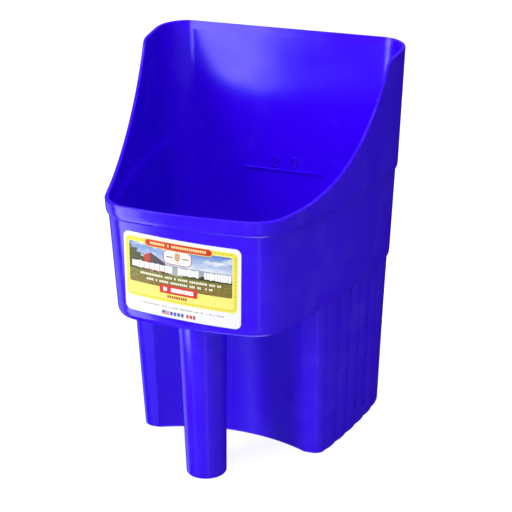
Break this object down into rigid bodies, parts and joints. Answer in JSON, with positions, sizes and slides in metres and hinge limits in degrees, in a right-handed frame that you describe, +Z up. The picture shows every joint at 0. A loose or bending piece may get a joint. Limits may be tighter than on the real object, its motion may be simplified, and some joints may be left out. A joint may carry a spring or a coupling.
{
  "type": "feed scoop",
  "caption": "Blue moulded plastic feed scoop with a tall back wall, a stepped enclosed tub, a round grip under the front and a printed label",
  "frame": {"origin": "on the plane that the base stands on, on the plane of symmetry, midway between the tub's front and back faces at the base", "axes": "+Z up, +Y towards the tall back wall and scooping lip, -Y towards the label and the grip"},
  "size_m": [0.1696, 0.1793, 0.2451],
  "materials": {
    "blue_plastic": "injection-moulded polypropylene, satin gloss",
    "label_film": "printed adhesive film, gloss"
  },
  "bodies": {
    "root": {"scoop_bucket": "blue_plastic", "handle_tube": "blue_plastic", "handle_end_plug": "blue_plastic", "front_label": "label_film"}
  },
  "joints": []
}
